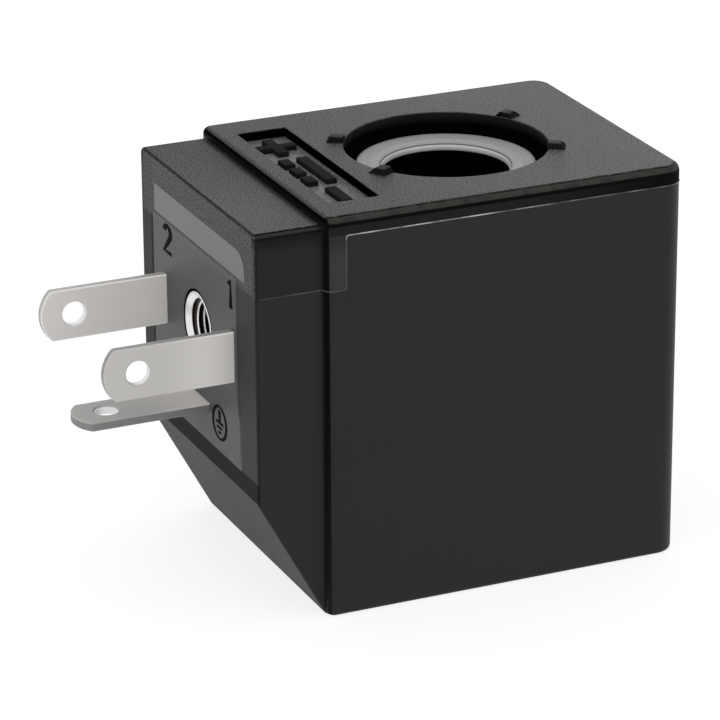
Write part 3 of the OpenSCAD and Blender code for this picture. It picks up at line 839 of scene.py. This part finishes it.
def opening_cutter():
    """Both round openings, on one axis, with the thin lip that is left on the steel at the top."""
    wall = [(OPENING_R, TOP_STEEL - PAST), (WINDOW_R, TOP_STEEL - PAST), (WINDOW_R, TOP_STEEL + LIP)]
    top = [(OPENING_R, TOP_STEEL + LIP), (OPENING_R, TOP + PAST), (0, TOP + PAST)]
    return turned([(0, -PAST), (OPENING_R, -PAST)] + wall + top)


def recess_cutter(rim=0.05, corner=0.15):
    """The recess, with round corners and a flared rim."""
    half_w, half_l = RECESS_HALF
    low, high = TOP - RECESS_DEPTH, TOP - rim
    bm = box_mesh((RECESS_X - half_w, -half_l, low), (RECESS_X + half_w, half_l, high))
    round_edges(bm, [e for e in bm.edges if upright(e)], corner, 4)
    lid = [f for f in bm.faces if f.normal.z > 0.9]
    new = bmesh.ops.extrude_face_region(bm, geom=lid)["geom"]
    bmesh.ops.delete(bm, geom=lid, context="FACES_ONLY")
    raised = [v for v in new if isinstance(v, bmesh.types.BMVert)]
    flare = (1 + 2 * rim / half_w, 1 + 2 * rim / half_l, 1)
    bmesh.ops.translate(bm, vec=(0, 0, 2 * rim), verts=raised)
    bmesh.ops.scale(bm, vec=flare, space=Matrix.Translation((-RECESS_X, 0, 0)), verts=raised)
    bmesh.ops.recalc_face_normals(bm, faces=bm.faces)
    return bm


# %% Cutters for the blades, the insert and the coil
def slot_cutters(gap=0.04):
    """The slots that the blades come out of, a little wider than the blades."""
    wide, thick, inside = BLADE_HALF + gap, BLADE_T / 2 + gap, NEAR_X + SUNK
    live = [
        box_mesh((PAD_X - PAST, y - thick, BLADE_Z - wide), (inside, y + thick, BLADE_Z + wide))
        for y in (-BLADE_Y, BLADE_Y)
    ]
    return live + [box_mesh((PAD_X - PAST, -wide, EARTH_Z - thick), (inside, wide, EARTH_Z + thick))]


def at_insert(bm):
    """Lays a shape that was turned round Z on the insert's axis, from the pad inward."""
    place = Matrix.Translation((PAD_X, 0, BLADE_Z)) @ Matrix.Rotation(math.pi / 2, 4, "Y")
    bmesh.ops.transform(bm, matrix=place, verts=bm.verts)
    return bm


def insert_seat():
    """The seat of the threaded insert, a little wider than the insert."""
    face, inside, end = INSERT_FACE_R + 0.05, INSERT_R + 0.03, INSERT_L + 0.05
    mouth = [(0, -PAST), (face, -PAST), (face, INSERT_SHOULDER)]
    return at_insert(turned(mouth + [(inside, INSERT_SHOULDER), (inside, end), (0, end)], 64))


def coil_space():
    """The room of the steel frame, the spool, the blade wall and the earth blade's tongue."""
    strip, flange_r, wall_z = 1.2, 7.2, 11.55
    start_x, arm_x, tongue_x, wall_x, end_x = -9.6, -6.4, -6.0, -4.0, 8.9
    frame_half, wall_half, tongue_half = 6.2, 5.9, 1.6
    low, high, tongue_z = FOOT_STEEL + strip, TOP_STEEL - strip, EARTH_Z + BLADE_T / 2
    spool = turned([(0, low), (flange_r, low), (flange_r, high), (0, high)])
    frame_room = box_mesh((arm_x, -frame_half, FOOT_STEEL), (end_x, frame_half, TOP_STEEL))
    wall_room = box_mesh((start_x, -wall_half, wall_z), (wall_x, wall_half, high))
    tongue_room = box_mesh((start_x, -tongue_half, FOOT_STEEL), (tongue_x, tongue_half, tongue_z))
    return [frame_room, spool, wall_room, tongue_room]


# %% [markdown]
# The case is then put together in the order in which the cuts depend on each other: the outside first, then
# what is cut from it, then the teeth, and last the opening, which trims the teeth's inner ends.

# %% Case
body = combined(main_block(), [connector_block(), plug_pad()], "UNION")
cutters = [*rim_cutters(), recess_cutter(), insert_seat(), *slot_cutters(), *coil_space()]
body = combined(body, cutters, "DIFFERENCE")
body = combined(body, [tooth(s * TOOTH_ANGLE + t) for s in (-1, 1) for t in (0, 180)], "UNION")
body = combined(body, [opening_cutter()], "DIFFERENCE")
piece(body, "case", case_black, ["moulded_case"])


# %% [markdown]
# ## Strokes
# The parting line, the terminal numbers and the signs are all strokes of even thickness. A curve with a
# round section draws them, and is turned into a mesh. A stroke is squeezed flat where it lies on a face like
# ink.


# %% A stroke along a path
def strokes(paths, radius, closed=False):
    """Round strokes along paths of points, as one mesh."""
    curve = bpy.data.curves.new("stroke", "CURVE")
    curve.dimensions = "3D"
    curve.bevel_depth = radius
    curve.bevel_resolution = 2
    curve.use_fill_caps = True
    for path in paths:
        line = curve.splines.new("POLY")
        line.points.add(len(path) - 1)
        line.use_cyclic_u = closed
        for point, place in zip(line.points, path):
            point.co = (*place, 1)
    obj = bpy.data.objects.new("stroke", curve)
    bpy.context.scene.collection.objects.link(obj)
    bm = evaluated(obj)
    bpy.data.objects.remove(obj)
    bmesh.ops.remove_doubles(bm, verts=bm.verts, dist=1e-5)
    bmesh.ops.recalc_face_normals(bm, faces=bm.faces)
    return bm


def merged(meshes):
    """Several meshes as one."""
    total = bmesh.new()
    for bm in meshes:
        mesh = bpy.data.meshes.new("part")
        bm.to_mesh(mesh)
        bm.free()
        total.from_mesh(mesh)
        bpy.data.meshes.remove(mesh)
    return total


# %% [markdown]
# ## Parting line
# Where the two halves of the mould met, they left a hair-thin ridge. It runs round the block just under the
# top, steps down before the connector, and goes round it at the height of the plug's upper edge.

# %% Parting line
RIDGE = 0.035


def parting_path(turn=0.15):
    """The ridge's path on the viewer's side, from the plain end to the connector's face."""
    high = arc((PART_STEP + turn, PART_HIGH - turn), turn, 90, 180)
    low = arc((PART_STEP - turn, PART_LOW + turn), turn, 0, -90)
    wall = [(x, -HALF_W, z) for x, z in high + low]
    start = arc((FAR_X - FAR_ROUND, -HALF_W + FAR_ROUND), FAR_ROUND, 0, -90)
    corner = arc((NEAR_X + NEAR_ROUND, -HALF_W + NEAR_ROUND), NEAR_ROUND, 270, 180)
    plug = [(NEAR_X, -CONN_HALF), (CONN_X + CONN_ROUND, -CONN_HALF)]
    upper = [(FAR_X, 0, PART_HIGH)] + [(x, y, PART_HIGH) for x, y in start]
    return upper + wall + [(x, y, PART_LOW) for x, y in corner + plug]


near_path = parting_path()
far_path = [(x, -y, z) for x, y, z in near_path]
piece(strokes([near_path, far_path], RIDGE), "parting_line", flash_highlight)

# %% [markdown]
# ## Marks
# The numbers tell the two live blades apart, and the protective earth sign stands beside the earth blade.
# They are drawn as a sign writer would, with a pen that is broader across than up.

# %% Marks on the plug face
NIB, INK = 2.2, 0.03
NUMBER_PEN, RING_PEN, EARTH_PEN = 0.12, 0.07, 0.08
TWO_AT, ONE_AT, EARTH_AT = (4.15, 17.42), (-4.6, 17.28), (-2.8, 9.52)


def mark(paths, pen, place, closed=False):
    """A drawing of (right, up) points on the pad, in strokes that are wider across than up."""
    bm = strokes([[(0, -right / NIB, up) for right, up in path] for path in paths], pen, closed)
    bmesh.ops.scale(bm, vec=(INK / pen, NIB, 1), verts=bm.verts)
    bmesh.ops.translate(bm, vec=(PAD_X, *place), verts=bm.verts)
    return bm


bow = [(1.15 * right, up) for right, up in arc((0, 0.36), 0.38, 165, -35, 10)]
two = bow + [(-0.5, -0.72), (0.52, -0.72)]
one = [(-0.2, 0.5), (0.04, 0.74), (0.04, -0.74)]
numbers = merged([mark([two], NUMBER_PEN, TWO_AT), mark([one], NUMBER_PEN, ONE_AT)])
piece(numbers, "terminal_numbers", mark_black)

ring = mark([arc((0, 0), 0.91, 0, 345, 23)], RING_PEN, EARTH_AT, True)
stem = [(0, 0.7), (0, 0)]
rungs = [[(-half, -down), (half, -down)] for half, down in ((0.5, 0), (0.34, 0.27), (0.16, 0.54))]
earth_lines = mark([stem, *rungs], EARTH_PEN, EARTH_AT)
piece(merged([ring, earth_lines]), "earth_sign", mark_black)


# %% [markdown]
# A smooth, pale field runs across the connector's face above the numbers, with one round corner. It is a
# thin plate that stands a few microns out of the face, so that it covers the grain.


# %% Bare field
def bare_field(proud=0.006, sunk=0.05):
    """The field, from a little inside the face to a little in front of the pad."""
    left, right, low, high, turn = -5.95, 6.55, 18.53, 20.03, 1.1
    back = CONN_X + sunk
    outline = [(left, low), (right, low)] + arc((right - turn, high - turn), turn, 0, 90) + [(left, high)]
    return drawn_out([(back, -across, up) for across, up in outline], (PAD_X - proud - back, 0, 0))


piece(bare_field(), "bare_field", field_grey)


# %% [markdown]
# The recess holds raised signs for plus, direct current and minus. They are plain bars with broken upper
# edges, which stand on the recess's floor.

# %% Signs in the recess
SIGN_APART, SIGN_HALF, BAR_HALF = 4.2, 1.15, 0.3


def bar(right, up, half_w, half_h, height=0.3):
    """A raised bar on the recess's floor, at a place that is read from the connector's side."""
    low, y, x = TOP - RECESS_DEPTH - HAIR, -right, RECESS_X + up
    bm = box_mesh((x - half_h, y - half_w, low), (x + half_h, y + half_w, low + height))
    round_edges(bm, edges_where(bm, lambda v: near(v.z, low + height)), 0.05, 2)
    return bm


plus = combined(bar(-SIGN_APART, 0, SIGN_HALF, BAR_HALF), [bar(-SIGN_APART, 0, BAR_HALF, 1.1)], "UNION")
direct = [bar(0, 0.55, 2.0, BAR_HALF)] + [bar(right, -0.5, 0.5, BAR_HALF) for right in (-1.5, 0, 1.5)]
minus = bar(SIGN_APART, 0, SIGN_HALF, BAR_HALF)
piece(merged([plus, *direct, minus]), "polarity_signs", sign_black)


# %% [markdown]
# ## Blades and steel
# The solids of the frame already have the right shape, but their edges are dead sharp. A stamped blade has
# a slightly rolled edge, and a turned sleeve has a broken one. So a copy of each is merged, and its sharp
# edges are bevelled by a few hundredths of a millimetre. The solids themselves stay as they are.

# %% Copies with filed edges
STEEL_BREAK = 0.02


def filed_copy(name, width):
    """A copy of a solid in millimetres, with its sharp edges bevelled."""
    bm = bmesh.new()
    bm.from_mesh(nodes[name].data)
    bmesh.ops.scale(bm, vec=(1 / MM,) * 3, verts=bm.verts)
    bmesh.ops.remove_doubles(bm, verts=bm.verts, dist=1e-4)
    bmesh.ops.dissolve_limit(bm, angle_limit=math.radians(0.5), verts=bm.verts, edges=bm.edges)
    round_edges(bm, [e for e in bm.edges if e.calc_face_angle(0) > SHARP], width, 1)
    bmesh.ops.recalc_face_normals(bm, faces=bm.faces)
    return bm


for name, material in blade_tin.items():
    piece(filed_copy(name, BLADE_BREAK), name + "_filed", material, [name])
piece(filed_copy("yoke_frame", STEEL_BREAK), "yoke_filed", yoke_steel, ["yoke_frame"])
for name in ("upper_flux_sleeve", "lower_flux_sleeve"):
    piece(filed_copy(name, STEEL_BREAK), name + "_filed", sleeve_steel, [name])


# %% [markdown]
# ## Threaded insert
# The insert is a turned brass bush with a tapped hole. The hole is cut at the thread's outer size, and the
# thread itself is a three-sided ridge that a spin carries round and inward at once.


# %% Insert with its thread
def insert_body(hole=3.6):
    """The bush, from the end of its hole round the mouth and the rim to its back."""
    wall = [(0, hole), (THREAD_ROOT, hole), (THREAD_ROOT, 0.3), (THREAD_ROOT - 0.02, 0.26)]
    rim = [(1.68, 0.04), (1.72, 0), (1.8, 0), (1.84, 0.02), (INSERT_FACE_R, 0.06)]
    shoulder = [(INSERT_FACE_R, INSERT_SHOULDER - 0.02), (INSERT_R, INSERT_SHOULDER)]
    return turned(wall + rim + shoulder + [(INSERT_R, INSERT_L), (0, INSERT_L)], 64)


def insert_thread(pitch=0.35, turns=8, steps=40, start=0.28):
    """A ridge that runs along the hole's wall, from its mouth inward."""
    bm = bmesh.new()
    sunk = THREAD_ROOT + 0.02
    corners = [(sunk, start), (THREAD_CREST, start + pitch / 2), (sunk, start + pitch)]
    face = bm.faces.new([bm.verts.new((r, 0, z)) for r, z in corners])
    bmesh.ops.spin(
        bm, geom=[face], cent=(0, 0, 0), axis=(0, 0, 1), dvec=(0, 0, pitch / steps),
        angle=2 * math.pi * turns, steps=steps * turns, use_duplicate=False,
    )
    bmesh.ops.recalc_face_normals(bm, faces=bm.faces)
    return bm


insert = at_insert(merged([insert_body(), insert_thread()]))
piece(insert, "insert", nickel, ["screw_insert"])

# %% [markdown]
# ## Inside
# What the case hides keeps its solid, and gets the finish that it has before it is moulded in.

# %% Finishes of the hidden solids
hidden = {
    "bobbin": spool_plastic, "copper_winding": copper, "winding_tape": film, "start_lead": copper,
    "finish_lead": copper, "solder_joints": solder,
}
for name, material in hidden.items():
    nodes[name].data.materials.clear()
    nodes[name].data.materials.append(material)
print("finished inside:", ", ".join(hidden))

# %% [markdown]
# ## Light
# A part of this kind is shown on plain white, under light that comes evenly from all round. Black plastic
# then shows its shape by the sheen alone: bright where it is seen at a low angle, dark where it is seen
# square on. The world gives that light, and what the camera and reflections see of it is plain white.


# %% World and floor
def white_rays(signal):
    """Is 1 for rays from the camera, from gloss and through glass."""
    kinds = ("Is Camera Ray", "Is Glossy Ray", "Is Transmission Ray")
    seen, glossy, through = (signal.node("ShaderNodeLightPath", output=kind) for kind in kinds)
    return seen | glossy | through


def white_surroundings(strength):
    """A white world, whose light on dull surfaces has that strength."""
    world = bpy.data.worlds.new("studio")
    world.use_nodes = True
    bpy.context.scene.world = world
    back = world.node_tree.nodes["Background"]
    white = white_rays(Signal(world.node_tree, None))
    level = white + (1 - white) * strength
    world.node_tree.links.new(level.socket, back.inputs["Strength"])
    back.inputs["Color"].default_value = (1, 1, 1, 1)


def white_floor(size, glow):
    """A floor of that half size in metres, which glows enough to look white and keeps a soft shadow."""
    bm = bmesh.new()
    bmesh.ops.create_grid(bm, x_segments=1, y_segments=1, size=size)
    floor = as_object(bm, "floor")
    f = Finish("floor_white", colour=grey(0.32), rough=0.9, gloss=0.0, glow_strength=glow)
    floor.data.materials.append(f.wear(glow=f.mix(white_rays(f.place), grey(0.53), grey(1))))


white_surroundings(strength=0.9)
white_floor(size=3.0, glow=0.78)
print("lit evenly from all round")
